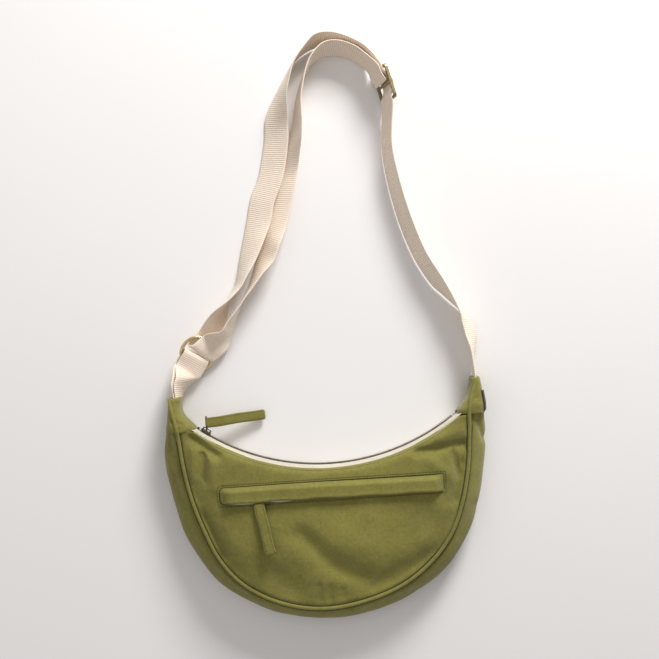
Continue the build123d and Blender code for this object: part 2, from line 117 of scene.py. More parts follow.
GUSSET_FOLDS = [
    (-161, -106, -155, -130, 3.2, 3.6), (-165, -118, -161, -142, 3.0, -1.6),
    (-158, -150, -148, -178, 4.0, 2.8),
    (159, -106, 167, -128, 3.2, 3.8), (-124, -246, -92, -274, 4.0, 2.2), (132, -226, 152, -196, 4.0, 1.8),
    (-60, -288, -10, -297, 4.0, 1.6), (30, -296, 84, -280, 4.0, 1.6),
]

# Strap stations: lower edge x, y, upper edge x, y and, where given, the height it starts at.
WEB_WIDTH = 30.0
SINGLE = [
    (160.5, -78, 160.5, -78, 1.8), (161, -60, 160.5, -60, 1.8), (163, -48, 159.5, -47.5),
    (166.5, -34, 157.5, -32), (168, -19, 153.7, -19), (164, -5, 150.5, -4), (155, 6, 149, 5),
    (143.5, 17, 146, 15), (134.5, 26, 140, 29), (123, 38, 133, 43.5), (108.5, 63.3, 119, 69),
    (97.1, 93.6, 108.5, 98), (89.2, 123.5, 100.5, 126.5), (83.4, 155.4, 94, 157),
    (80.9, 181.2, 90.6, 182), (82, 205, 91.8, 206),
]
INNER = [
    (62, 275.5, 68, 281.5), (53, 282, 57.5, 290), (42, 286, 41, 296.5), (28, 286.3, 25.5, 295),
    (14.5, 280.5, 12.7, 283), (4, 268, 6.5, 270.5), (-3, 254, 2.2, 255), (-8, 238, -1, 239),
    (-13, 216, -1.5, 216), (-20, 201, -3, 201), (-30, 187, -5.5, 186.5), (-38.5, 166.5, -10, 166),
    (-43.5, 147, -15.2, 144), (-47.5, 130, -20, 124.5), (-51, 114.3, -26.2, 105),
    (-53.5, 98.5, -33.2, 89), (-58.2, 81.3, -40, 72.5), (-64, 64, -52, 59.8), (-69.5, 48.5, -64.5, 44.5),
    (-75.5, 37, -73, 34.6), (-80.3, 27.2, -79.6, 26.2), (-84.9, 15.9, -87.3, 17.3),
    (-88.1, 6.5, -94, 10), (-92.2, -5, -101.5, 1),
]
OUTER = [
    (-98, 6, -110.5, 20), (-94, 21.5, -99, 27.5), (-92, 36, -89.8, 33.6), (-84, 49.7, -77.2, 45.2),
    (-80.8, 63, -68.8, 58.6), (-77, 81, -59.5, 73.5), (-72.3, 99.5, -50.2, 92.5),
    (-67.5, 119, -42, 112.3), (-62, 142, -36.5, 133), (-53.6, 160.5, -28, 152.5),
    (-48.6, 177.4, -22, 172.5), (-43.3, 202.8, -17, 200.6), (-41, 224, -16.5, 218), (-29, 248, -15.8, 243),
    (-18.5, 265, -11.4, 262), (-8.5, 280, -5.5, 278), (4, 290.5, 5, 292), (20, 296.5, 18, 304.5),
    (39, 295, 37, 305.1), (56, 288.5, 60, 295), (67, 279.5, 73, 284.5),
]
RING_AT = Vector((-128.0, -20.0, 11.4))
FRAME_AT = Vector((87.0, 248.5, 18.2))
# Ring tab: lower edge x, y, upper edge x, y, height it starts at and half the gap between its plies.
TAB = [
    (-151, -78, -151.5, -78, 2.2, 1.2), (-148.5, -62, -153, -62, 2.3, 1.2),
    (-142, -53, -154, -51, 4.6, 1.8), (-133.5, -47, -152, -41, 5.6, 2.7),
]


class Line:
    """A smooth line through a few points, read by its share of length."""

    def __init__(self, points, per_span=12):
        points = [Vector((*p, 0)[:3]) if len(p) == 2 else Vector(p) for p in points]
        padded = [points[0] * 2 - points[1], *points, points[-1] * 2 - points[-2]]
        self.points = [points[0].copy()]
        for a, b, c, d in zip(padded, padded[1:], padded[2:], padded[3:]):
            for step in range(1, per_span + 1):
                t = step / per_span
                square, cube = 2 * a - 5 * b + 4 * c - d, 3 * b - a - 3 * c + d
                self.points.append(0.5 * (2 * b + (c - a) * t + square * t**2 + cube * t**3))
        self.at_length = [0.0]
        for a, b in zip(self.points, self.points[1:]):
            self.at_length.append(self.at_length[-1] + (b - a).length)
        self.length = self.at_length[-1]

    def at(self, share):
        target = min(max(share, 0.0), 1.0) * self.length
        i = min(bisect_right(self.at_length, target) - 1, len(self.points) - 2)
        span = self.at_length[i + 1] - self.at_length[i]
        return self.points[i].lerp(self.points[i + 1], (target - self.at_length[i]) / max(span, 1e-9))

    def along(self, share, step=0.004):
        return (self.at(share + step) - self.at(share - step)).normalized()


def smooth(t):
    t = min(max(t, 0.0), 1.0)
    return t * t * (3 - 2 * t)


def fold(x, y, folds):
    """How far the deepest fold lowers a place, less what the highest ridge raises it."""
    lowest = highest = 0.0
    for x0, y0, x1, y1, width, depth in folds:
        dx, dy = x1 - x0, y1 - y0
        length2 = dx * dx + dy * dy
        t = ((x - x0) * dx + (y - y0) * dy) / length2
        inside = min(max(t, 0.0), 1.0)
        away2 = (x - x0 - dx * inside) ** 2 + (y - y0 - dy * inside) ** 2
        change = depth * exp(-away2 / (width * width))
        lowest, highest = max(lowest, change), min(highest, change)
    return lowest + highest


def ripple(x, y, size, amount, seed=0.0):
    return amount * noise.noise(Vector((x / size, y / size, seed)))


def surface(bm, across, along, place, closed=False):
    """A grid whose points go to place(u, v), with its UV map kept in the same shares."""
    bmesh.ops.create_grid(bm, x_segments=across, y_segments=along, size=1.0)
    uv = bm.loops.layers.uv.verify()
    for face in bm.faces:
        for loop in face.loops:
            loop[uv].uv = ((loop.vert.co.x + 1) / 2, (loop.vert.co.y + 1) / 2)
    for vert in bm.verts:
        vert.co = Vector(place((vert.co.x + 1) / 2, (vert.co.y + 1) / 2)) * MM
    if closed:
        bmesh.ops.remove_doubles(bm, verts=bm.verts, dist=MERGE_DISTANCE)
        bmesh.ops.holes_fill(bm, edges=[e for e in bm.edges if e.is_boundary], sides=0)
    bmesh.ops.recalc_face_normals(bm, faces=bm.faces)


def scale_uv(bm, width, length):
    uv = bm.loops.layers.uv.verify()
    for face in bm.faces:
        for loop in face.loops:
            loop[uv].uv = (loop[uv].uv.x * width, loop[uv].uv.y * length)


def finish_piece(
    name, bm, material, body="bag", stands_for=(), wall=0.0, wall_side=-1.0, levels=0
):
    """Makes the object, gives it its cloth thickness and smoothing, and puts it on its body."""
    mesh = bpy.data.meshes.new(name)
    bm.to_mesh(mesh)
    bm.free()
    mesh.shade_smooth()
    piece = bpy.data.objects.new(name, mesh)
    bpy.context.scene.collection.objects.link(piece)
    mesh.materials.append(material)
    if wall:
        thick = piece.modifiers.new("cloth", "SOLIDIFY")
        thick.thickness = wall * MM
        thick.offset = wall_side
    if levels:
        soften = piece.modifiers.new("soften", "SUBSURF")
        soften.levels = soften.render_levels = levels
        soften.uv_smooth = "NONE"
    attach(piece, body)
    if stands_for:
        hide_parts(*stands_for)
    return piece


def facing(bm, direction):
    """Turns an open sheet so that it faces the given way."""
    total = Vector((0, 0, 0))
    for face in bm.faces:
        total += face.normal * face.calc_area()
    if total.dot(Vector(direction)) < 0:
        bmesh.ops.reverse_faces(bm, faces=bm.faces)


def stitches(bm, path, pitch=2.9, long=1.9, wide=0.8, high=0.5):
    """A row of thread beads along a list of places with their facing directions, in metres."""
    gone, due = 0.0, 0.0
    for (a, up_a), (b, up_b) in zip(path, path[1:]):
        run = b - a
        span = run.length / MM
        while span > 1e-6 and due <= gone + span:
            share = (due - gone) / span
            up = up_a.lerp(up_b, share).normalized()
            ahead = run.normalized()
            side = up.cross(ahead).normalized()
            lift = ahead.cross(side)
            turn = Matrix((ahead, side, lift)).transposed().to_4x4()
            size = Matrix.Diagonal((long * MM / 2, wide * MM / 2, high * MM / 2, 1))
            bead = bmesh.ops.create_uvsphere(
                bm, u_segments=6, v_segments=4, radius=1.0, matrix=Matrix.Rotation(pi / 2, 4, "Y")
            )
            put = Matrix.Translation(a.lerp(b, share)) @ turn @ size
            bmesh.ops.transform(bm, verts=bead["verts"], matrix=put)
            due += pitch
        gone += span


class Wire:
    """A shader socket that takes part in arithmetic; every sum adds its own Math node."""

    def __init__(self, tree, socket):
        self.tree, self.socket = tree, socket

    def _math(self, kind, *terms):
        return self.tree.node("ShaderNodeMath", {"operation": kind}, dict(enumerate(terms)))

    def __add__(self, other):
        return self._math("ADD", self, other)

    def __radd__(self, other):
        return self._math("ADD", other, self)

    def __sub__(self, other):
        return self._math("SUBTRACT", self, other)

    def __rsub__(self, other):
        return self._math("SUBTRACT", other, self)

    def __mul__(self, other):
        return self._math("MULTIPLY", self, other)

    def __rmul__(self, other):
        return self._math("MULTIPLY", other, self)

    def power(self, other):
        return self._math("POWER", self, other)

    def wave(self):
        """Sine of the value, from 0 to 1."""
        return self._math("SINE", self) * 0.5 + 0.5

    def between(self, low, high):
        """0 below low, 1 above high and smooth in between."""
        settings = {"interpolation_type": "SMOOTHSTEP"}
        inputs = {"Value": self, "From Min": low, "From Max": high}
        return self.tree.node("ShaderNodeMapRange", settings, inputs)


class Finish:
    """One material's node tree."""

    def __init__(self, name, **fixed):
        self.material = bpy.data.materials.new(name)
        self.material.use_nodes = True
        self.nodes = self.material.node_tree.nodes
        self.shader = self.nodes["Principled BSDF"]
        for socket, value in fixed.items():
            self.shader.inputs[socket.replace("_", " ")].default_value = value
        self.coords = self.nodes.new("ShaderNodeTexCoord")
        self.object = Wire(self, self.coords.outputs["Object"])
        self.uv = Wire(self, self.coords.outputs["UV"])

    def node(self, kind, settings, inputs, output=0):
        made = self.nodes.new(kind)
        for key, value in settings.items():
            if key == "stops":
                ramp = made.color_ramp
                ramp.elements[0].position, ramp.elements[0].color = value[0]
                ramp.elements[1].position, ramp.elements[1].color = value[-1]
                for position, color in value[1:-1]:
                    ramp.elements.new(position).color = color
            else:
                setattr(made, key, value)
        for key, value in inputs.items():
            if isinstance(value, Wire):
                self.material.node_tree.links.new(value.socket, made.inputs[key])
            else:
                made.inputs[key].default_value = value
        return Wire(self, made.outputs[output])

    def noise(self, scale, detail=3.0, rough=0.55, vector=None):
        inputs = {"Vector": vector or self.object, "Scale": scale, "Detail": detail, "Roughness": rough}
        return self.node("ShaderNodeTexNoise", {}, inputs)

    def axis(self, vector, name):
        return self.node("ShaderNodeSeparateXYZ", {}, {0: vector}, output="XYZ".index(name))

    def mix(self, share, first, second):
        settings = {"data_type": "RGBA"}
        return self.node("ShaderNodeMix", settings, {0: share, 6: first, 7: second}, output=2)

    def bump(self, height, distance, strength=1.0):
        inputs = {"Height": height, "Distance": distance, "Strength": strength}
        return self.node("ShaderNodeBump", {}, inputs)

    def feed(self, **links):
        for socket, value in links.items():
            target = self.shader.inputs[socket.replace("_", " ")]
            self.material.node_tree.links.new(value.socket, target)
        return self.material


def rgba(colour, gain=1.0):
    return (colour[0] * gain, colour[1] * gain, colour[2] * gain, 1.0)


def weave(finish, vector, pitch):
    """Crossing threads of a plain weave along X and Y of the given coordinates, from 0 to 1."""
    turns = 2 * pi / pitch
    warp = (finish.axis(vector, "X") * turns).wave()
    weft = (finish.axis(vector, "Y") * turns).wave()
    return warp * weft + (1 - warp) * (1 - weft)


def canvas_finish(name, colour, pitch=0.0011, on_uv=True, wear=1.0):
    """Garment-washed canvas: faded in patches, with a fine weave and a dry, soft face."""
    made = Finish(name, Roughness=0.88, Specular_IOR_Level=0.22, Sheen_Weight=0.25, Sheen_Roughness=0.5)
    clouds = made.noise(14.0, 4.0, 0.6)
    faded = made.noise(46.0, 5.0, 0.65)
    fleck = made.noise(900.0, 2.0, 0.7)
    slub = made.noise(330.0, 3.0, 0.75)
    threads = weave(made, made.uv if on_uv else made.object, pitch)
    shade = clouds * 0.4 + faded * 0.3 + slub * 0.5 * wear + fleck * 0.35 * wear + threads * 0.1 - 0.3
    base = made.mix(shade.between(0.2, 0.85), rgba(colour, 0.72), rgba(colour, 1.28))
    height = threads * 0.5 + fleck * 0.55 + slub * 1.3 + faded * 1.6
    return made.feed(
        Base_Color=base, Roughness=0.98 - fleck * 0.18, Normal=made.bump(height, 0.00026, 0.85)
    )


def webbing_finish(name, colour):
    """Heavy cotton webbing with close cross ribs, a firmer edge and slightly uneven yarn."""
    made = Finish(name, Roughness=0.85, Specular_IOR_Level=0.25, Sheen_Weight=0.2)
    rib = (made.axis(made.uv, "Y") * (2 * pi / 0.0021)).wave()
    warp = (made.axis(made.uv, "X") * (2 * pi / 0.0012)).wave()
    yarn = made.noise(420.0, 3.0, 0.65)
    soiled = made.noise(20.0, 3.0, 0.5)
    shade = (rib * 0.4 + yarn * 0.5 + soiled * 0.35).between(0.2, 1.0)
    base = made.mix(shade, rgba(colour, 0.82), rgba(colour, 1.1))
    height = rib.power(0.8) * 0.8 + warp * 0.25 + yarn * 0.5
    return made.feed(
        Base_Color=base, Roughness=0.95 - yarn * 0.15, Normal=made.bump(height, 0.00035, 0.8)
    )


def thread_finish(name, colour):
    made = Finish(name, Roughness=0.7, Specular_IOR_Level=0.3)
    twist = made.noise(1500.0, 2.0, 0.6)
    base = made.mix(twist, rgba(colour, 0.75), rgba(colour, 1.15))
    return made.feed(Base_Color=base, Normal=made.bump(twist, 0.0001, 0.6))


def metal_finish(name, dark, bright, roughness, patina):
    """Plated metal with darker patina in its hollows and fine rubbed marks."""
    made = Finish(name, Metallic=1.0, Specular_IOR_Level=0.5)
    spots = made.noise(260.0, 4.0, 0.6)
    rubbed = made.noise(1400.0, 3.0, 0.7)
    worn = (spots * 0.7 + rubbed * 0.4).between(0.3, patina)
    base = made.mix(worn, rgba(dark), rgba(bright))
    return made.feed(
        Base_Color=base,
        Roughness=roughness + 0.22 - worn * 0.22,
        Normal=made.bump(rubbed + spots, 0.00006, 0.5),
    )


def material(name):
    """The shared finish of that name, made when it is first asked for."""
    if name in bpy.data.materials and name.startswith("bag_"):
        return bpy.data.materials[name]
    colours = bpy.context.scene.bag_colours
    canvas, web, tape = colours.canvas, colours.webbing, colours.zip_tape
    makers = {
        "bag_canvas": lambda: canvas_finish(name, canvas),
        "bag_canvas_trim": lambda: canvas_finish(name, [c * 0.95 for c in canvas], 0.0010, False),
        "bag_lining": lambda: canvas_finish(name, [c * 0.9 for c in canvas], 0.0007, False, 0.5),
        # Painted shade: near-black canvas for the tubes laid in folds and seam grooves where shadow falls.
        "bag_painted_fold_shade": lambda: canvas_finish(name, [c * 0.3 for c in canvas], 0.001, False),
        "bag_thread": lambda: thread_finish(name, [c * 0.4 for c in canvas]),
        "bag_webbing": lambda: webbing_finish(name, web),
        "bag_tape": lambda: canvas_finish(name, tape, 0.0008, True, 0.6),
        "bag_tape_flat": lambda: canvas_finish(name, tape, 0.0008, False, 0.6),
        "bag_label": lambda: canvas_finish(name, colours.label, 0.0006, False, 0.8),
        "bag_dark_metal": lambda: metal_finish(name, (0.05, 0.042, 0.036), (0.2, 0.17, 0.145), 0.34, 0.8),
        "bag_zip_metal": lambda: metal_finish(name, (0.12, 0.1, 0.085), (0.42, 0.36, 0.29), 0.36, 0.7),
        "bag_antique_brass": lambda: metal_finish(name, (0.13, 0.09, 0.045), (0.5, 0.39, 0.22), 0.3, 0.75),
        "bag_brass": lambda: metal_finish(name, (0.34, 0.24, 0.1), (0.82, 0.64, 0.34), 0.2, 0.6),
    }
    return makers[name]()


def landing(tree, start, direction, proud):
    """Where a line meets the piece, a little proud of its face, and which way the face looks."""
    place, normal, _, _ = tree.ray_cast(start, direction)
    if place is None:
        return None
    if normal.dot(direction) > 0:
        normal = -normal
    return place + normal * proud * MM, normal


def drop(tree, x, y, proud=0.15):
    """Where a line straight down at a plan place, in millimetres, meets the piece."""
    return landing(tree, Vector((x * MM, y * MM, PROBE_HEIGHT)), DOWN, proud)


def sewn_line(tree, points, step=0.6):
    """Places along a plan line, in millimetres, laid on the piece below it."""
    laid = []
    for a, b in zip(points, points[1:]):
        a, b = Vector((*a, 0)[:3]), Vector((*b, 0)[:3])
        count = max(int((b - a).length / step), 1)
        for i in range(count + (b is points[-1])):
            p = a.lerp(b, i / count)
            found = drop(tree, p.x, p.y)
            if found:
                laid.append(found)
    return laid


def cloth_of(piece):
    return BVHTree.FromObject(piece, bpy.context.evaluated_depsgraph_get())


SEAM = Line(FRONT_SEAM)
WIDE = Line(WIDEST)
BACK = Line(BACK_SEAM)


def clear_of_ends(share):
    """The share of a seam that stops just short of both its ends."""
    return 0.012 + 0.976 * share


def zip_arc(share, radius, z):
    """A place on the top zip's arc, from its left end to its right."""
    turn = ZIP_LEFT + (ZIP_RIGHT - ZIP_LEFT) * share
    return Vector((ZIP_CENTRE_X + radius * sin(turn), ZIP_CENTRE_Y - radius * cos(turn), z))


def front_place(u, v):
    top = zip_arc(u, FRONT_EDGE_RADIUS, 0)
    seam = SEAM.at(clear_of_ends(u))
    flat = top.lerp(seam, v)
    depth = (seam - top).length
    from_top, from_seam = depth * v, depth * (1 - v)
    from_end = min(u, 1 - u) * SEAM.length
    x, y = flat.x, flat.y
    crown = CROWN * (1 - exp(-from_top / CROWN_RISE)) * (1 - exp(-((from_seam / 30.0) ** 1.5)))
    crown *= 0.45 + 0.55 * smooth(from_end / 60.0)
    belly = 3.3 * exp(-(((y + 226) / 24.0) ** 2)) * exp(-(((x - 5) / 100.0) ** 2))
    groove = SEAM_DIP * exp(-((from_seam / 3.0) ** 2))
    pucker = 0.45 * sin(u * SEAM.length * 2 * pi / 11.0 + 2 * sin(u * 40)) * exp(-from_seam / 7.0)
    crumple = ripple(x, y, 44, 0.9) + ripple(x, y, 17, 0.5, 3.0) + ripple(x, y, 8, 0.3, 6.0) - 0.6
    faded = smooth(from_seam / 8.0) * smooth(from_top / 5.0)
    hem = 0.7 * exp(-(((from_top - 1.6) / 1.6) ** 2))
    edge = 5.5 * exp(-((from_top / 2.6) ** 2))
    z = PANEL_HEIGHT + crown + belly + hem - edge - groove + pucker + (crumple - fold(x, y, FOLDS)) * faded
    return x, y, z


def gusset_place(u, v):
    front = SEAM.at(clear_of_ends(u)) + UP * FRONT_SEAM_HEIGHT
    wide = WIDE.at(u) + UP * WIDEST_HEIGHT
    back = BACK.at(u) + UP * BACK_SEAM_HEIGHT
    pull = wide * 2 - (front + back) * 0.5
    place = front * (1 - v) ** 2 + pull * 2 * v * (1 - v) + back * v * v
    out = Vector((place.x - 5, place.y + 120, 0)).normalized()
    full = sin(pi * v)
    from_front = v * GUSSET_GIRTH
    place.z -= SEAM_DIP * exp(-((from_front / 3.2) ** 2))
    dent = fold(place.x, place.y, GUSSET_FOLDS) * full
    run, girth = u * SEAM.length, v * 40
    soft = (ripple(run, girth, 30, 1.5, 9.0) + ripple(run, girth, 11, 0.6, 2.0)) * full
    place -= (out * 0.75 + UP * 0.65) * (dent - soft * 0.6 + 0.4 * full)
    return place


def back_place(u, v):
    top = zip_arc(u, BACK_EDGE_RADIUS, 0)
    seam = BACK.at(clear_of_ends(u))
    flat = top.lerp(seam, v)
    depth = (seam - top).length
    rim = 1.7 * exp(-depth * (1 - v) / 6.0) + 1.2 * exp(-depth * v / 4.0)
    z = 0.3 + rim + 0.35 * (1 + noise.noise(Vector((flat.x / 30, flat.y / 30, 5))))
    return flat.x, flat.y, z


def round_section(angle, half_x, half_z, square=0.72):
    """A place on a rounded box section, by its angle round the middle."""
    c, s = cos(angle), sin(angle)
    x = half_x * abs(c) ** square * (1 if c > 0 else -1)
    z = half_z * abs(s) ** square * (1 if s > 0 else -1)
    return x, z


# Cap stations: y, outer edge x, inner edge x, back z and front z.
LEFT_CAP = [
    (-101, -164.8, -134.0, 0.6, 40.2), (-96, -164.6, -133.6, 0.6, 41.2), (-90, -163.4, -139.4, 0.6, 41.0),
    (-84, -162.4, -144.6, 0.6, 39.6), (-76, -161.5, -147.4, 0.6, 37.6), (-64, -160.6, -145.6, 0.5, 34.6),
]
RIGHT_CAP = [
    (-101, 168.6, 139.5, 0.6, 40.2), (-96, 169.0, 140.0, 0.6, 41.2), (-90, 169.0, 144.8, 0.6, 41.0),
    (-82, 168.2, 150.5, 0.6, 39.4), (-72, 166.8, 154.4, 0.6, 37.2), (-62.5, 165.6, 156.4, 0.5, 34.8),
]
CAP_FOLDS = [
    (-150, -70, -147, -80, 2.4, 1.1), (-156, -88, -146, -92, 2.6, 1.2), (-150, -96, -140, -93, 2.4, 0.8),
    (158, -84, 150, -90, 2.6, 1.1), (160, -70, 158, -80, 2.0, 0.9),
]


def cap_place(stations):
    sides = Line([(y, outer, inner) for y, outer, inner, _, _ in stations])
    faces = Line([(y, back, front) for y, _, _, back, front in stations])

    def place(u, v):
        y, outer, inner = sides.at(v)
        _, low, high = faces.at(v)
        dx, dz = round_section(2 * pi * u, abs(outer - inner) / 2, (high - low) / 2)
        tuck = 1 - 0.1 * smooth((v - 0.95) / 0.05)
        x, z = (outer + inner) / 2 + dx * tuck, (low + high) / 2 + dz * tuck
        crease = fold(x, y, CAP_FOLDS) * max(dz, 0) / (high - low) * 2
        z -= crease + ripple(x, y, 8, 0.5, 4.0) * max(dz, 0) / 20
        return x, y, max(z, 0.4)

    return place


def tube(line, radius, flat=1.0):
    """Place function of a cord of that radius along a line."""

    def place(u, v):
        along = line.along(v)
        side = along.cross(UP).normalized()
        over = side.cross(along)
        return line.at(v) + side * radius * cos(2 * pi * u) + over * radius * flat * sin(2 * pi * u)

    return place


class Ribbon:
    """Webbing between its lower and upper edge lines, read by the share of its length."""

    def __init__(self, stations, per_span=8):
        low = Line([s[0] for s in stations], per_span).points
        high = Line([s[1] for s in stations], per_span).points
        self.edges = list(zip(low, high))
        middles = [(a + b) / 2 for a, b in self.edges]
        self.gone = [0.0]
        for a, b in zip(middles, middles[1:]):
            self.gone.append(self.gone[-1] + (b - a).length)
        self.length = self.gone[-1]

    def at(self, share):
        target = share * self.length
        i = min(bisect_right(self.gone, target) - 1, len(self.edges) - 2)
        t = (target - self.gone[i]) / max(self.gone[i + 1] - self.gone[i], 1e-9)
        return [self.edges[i][k].lerp(self.edges[i + 1][k], t) for k in (0, 1)]

    def place(self, u, v):
        low, high = self.at(v)
        middle = (low + high) / 2
        across = (high - low).normalized()
        return middle + across * WEB_WIDTH * (u - 0.5)


def floor_edges(bx, by, tx, ty, lift=0.9):
    plan = sqrt((tx - bx) ** 2 + (ty - by) ** 2)
    return Vector((bx, by, lift)), Vector((tx, ty, lift + sqrt(WEB_WIDTH**2 - plan**2)))


FRAME_LEAN = radians(19)
FRAME_N = Vector((0.969, 0.246, 0))
FRAME_S = Vector((-0.246, 0.969, 0))
FRAME_W = FRAME_N * sin(FRAME_LEAN) + UP * cos(FRAME_LEAN)
FRAME_O = FRAME_S.cross(FRAME_W)
RING_TILT = radians(20)
RING_U = Vector((0.67, 0.742, 0)).normalized()
RING_V = Vector((-0.742 * cos(RING_TILT), 0.67 * cos(RING_TILT), sin(RING_TILT))).normalized()
RING_N = RING_U.cross(RING_V)
PLY_RISE = 3.6


def at_frame(s, o):
    mid = FRAME_AT + FRAME_S * s + FRAME_O * o
    return mid - FRAME_W * (WEB_WIDTH / 2), mid + FRAME_W * (WEB_WIDTH / 2)


def in_ring(u, v, w, spread=0.0):
    a = radians(spread)
    u_dir = RING_U * cos(a) + RING_V * sin(a)
    v_dir = RING_V * cos(a) - RING_U * sin(a)
    return RING_AT + u_dir * u + v_dir * v + RING_N * w


def round_ring(sign, spread=0.0, depth=4.6, reach=20.0, skew=0.0):
    """Stations of a ply that comes in over the ring, turns in its hole and leaves below it."""
    turns = [(reach, 1.0), (depth + 3, 1.0), (depth, 1.0)]
    turns += [(depth - PLY_RISE * 0.707, 0.707), (depth - PLY_RISE, 0.0)]
    turns += [(depth - PLY_RISE * 0.707, -0.707), (depth, -1.0), (depth + 3, -1.0), (reach, -1.0)]
    pairs = []
    for u, w in turns:
        slip = -skew * (0.45 + 0.55 * u / reach) * max(w, 0.25)
        pairs.append(tuple(in_ring(sign * u, half + slip, PLY_RISE * w, spread) for half in (-15, 15)))
    return pairs


def strap_stations():
    run = [floor_edges(*row) for row in SINGLE]
    over_bars = [(-22, -3.6), (-15, -3.2), (-5, 3.4), (4, 3.4), (13, -3.0), (21, -3.6)]
    run += [at_frame(s, o) for s, o in over_bars]
    run += [floor_edges(*row) for row in OUTER[::-1]] + round_ring(1, skew=7.0)[::-1]
    run += [floor_edges(*row) for row in INNER[::-1]]
    return run + [at_frame(s, o) for s, o in [(20, -6.8), (12, -6.0), (1, -3.0)]]


def tab_ply(side):
    pairs = []
    for bx, by, tx, ty, lift, half_gap in TAB:
        low, high = floor_edges(bx, by, tx, ty, lift)
        normal = Vector((0.467, 0.88, 0)).cross(high - low).normalized() * side * half_gap
        pairs.append((low + normal, high + normal))
    return pairs


def webbing(name, stations, node, segments, held):
    ribbon = Ribbon(stations)
    bm = bmesh.new()
    surface(bm, 8, segments, ribbon.place)
    scale_uv(bm, WEB_WIDTH * MM, ribbon.length * MM)
    piece = finish_piece(
        name, bm, material("bag_webbing"), stands_for=[node], wall=1.8, wall_side=0, levels=1
    )


def pull_tab(name, line, body, node, width, thick):
    """A strip of folded canvas, stitched along its edges."""
    line = Line(line)
    bm = bmesh.new()

    def place(u, v):
        along = line.along(min(max(v, 0.02), 0.98))
        side = along.cross(UP).normalized()
        over = side.cross(along)
        ends = 1 - 0.16 * smooth(1 - min(v, 1 - v) / 0.03)
        dx, dz = round_section(2 * pi * u, width / 2 * ends, thick / 2 * ends, 0.5)
        sag = 0.25 * exp(-((dx / (width * 0.26)) ** 2)) * (1 if dz > 0 else -1)
        wavy = 0.18 * noise.noise(Vector((v * 6, dx / 5, width)))
        return line.at(v) + side * (dx + 0.25 * sin(v * 9)) + over * (dz + sag * 0.8 + wavy)

    surface(bm, 28, 40, place, closed=True)
    piece = finish_piece(name, bm, material("bag_canvas_trim"), body, [node], levels=1)
    cloth = cloth_of(piece)
    bm = bmesh.new()
    for side in (-1, 1):
        rows = []
        for i in range(101):
            share = 0.03 + 0.94 * i / 100
            edge = line.at(share) + line.along(share).cross(UP).normalized() * side * (width / 2 - 1.7)
            found = drop(cloth, edge.x, edge.y, 0.1)
            if found:
                rows.append(found)
        stitches(bm, rows, 2.6, 1.7, 0.7, 0.45)
    finish_piece(name + "_stitches", bm, material("bag_thread"), body)


def painted_fold_shade_lines(name, cloth, lines, radius=0.45):
    """Dark canvas tubes of painted shade, laid along folds where one layer of canvas tucks under another."""
    bm = bmesh.new()
    for points in lines:
        laid = [(place + normal * 0.0001) / MM for place, normal in sewn_line(cloth, points, 2.5)]
        one = bmesh.new()
        surface(one, 6, max(len(laid) * 2, 8), tube(Line(laid, 4), radius), closed=True)
        part = bpy.data.meshes.new("part")
        one.to_mesh(part)
        one.free()
        bm.from_mesh(part)
        bpy.data.meshes.remove(part)
    finish_piece(name, bm, material("bag_painted_fold_shade"))


def canvas_side(name, place, across, along, node, faces, width, length, wall=CANVAS_WALL):
    bm = bmesh.new()
    surface(bm, across, along, place)
    facing(bm, faces)
    scale_uv(bm, width, length)
    finish_piece(name, bm, material("bag_canvas"), "bag", [node], wall=wall, levels=1)


class BAG_OT_shell(bpy.types.Operator):
    """Front panel, gusset and back panel of the canvas shell"""

    bl_idname = "bag.shell"
    bl_label = "Canvas shell"

    def execute(self, context):
        canvas_side("canvas_front_panel", front_place, 140, 56, "front_panel", (0, 0, 1), 0.44, 0.14)
        canvas_side("canvas_back_panel", back_place, 90, 30, "back_panel", (0, 0, -1), 0.44, 0.14, 1.0)
        bm = bmesh.new()
        surface(bm, 180, 26, gusset_place)
        scale_uv(bm, 0.6, 0.055)
        centre = Vector((0.004, -0.15, 0.02))
        if sum((f.calc_center_median() - centre).dot(f.normal) for f in bm.faces) < 0:
            bmesh.ops.reverse_faces(bm, faces=bm.faces)
        finish_piece(
            "canvas_gusset", bm, material("bag_canvas"), "bag", ["gusset"],
            wall=CANVAS_WALL, levels=1,
        )
        return {"FINISHED"}


